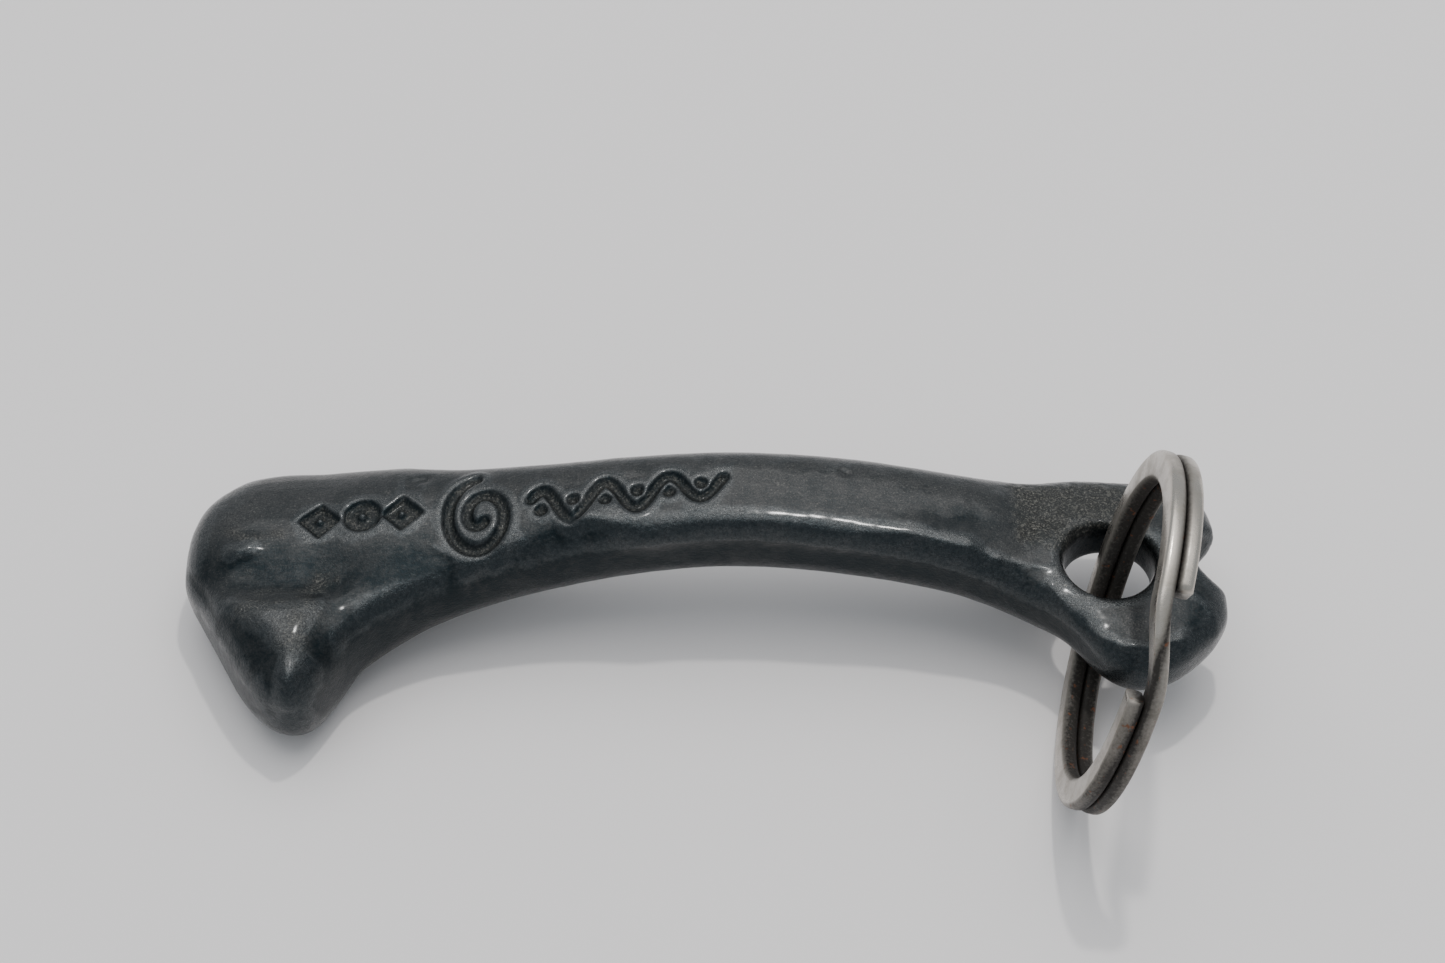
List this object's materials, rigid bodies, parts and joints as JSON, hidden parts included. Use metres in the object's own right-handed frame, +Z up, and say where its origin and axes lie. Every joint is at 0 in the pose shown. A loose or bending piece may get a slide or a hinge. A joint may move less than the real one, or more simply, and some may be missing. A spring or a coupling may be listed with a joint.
{
  "type": "keychain bottle opener",
  "caption": "Cast metal bottle opener shaped like a bone, with a hooked head, a notched ring end and a flat-wire split ring for keys.",
  "frame": {"origin": "centre of the bottom of the whole opener's box, on the surface it lies on", "axes": "+X along the bone from the hooked head to the ring end, +Y away from the hook's tip, +Z up from the surface"},
  "size_m": [0.0906, 0.0394, 0.0305],
  "materials": {
    "cast_body": "darkened cast metal, burnished on the high spots and matt in the hollows",
    "ring_wire": "bright nickel-plated wire with light wear"
  },
  "bodies": {
    "bone": {"bone_body": "cast_body"},
    "ring": {"split_ring": "ring_wire"}
  },
  "joints": [
    {"name": "ring_swivel", "type": "hinge", "parent": "bone", "child": "ring", "pos_m": [0.0351, 0.00715, 0.0076], "axis": [0, 0, 1], "range_deg": [-70, 240]}
  ]
}
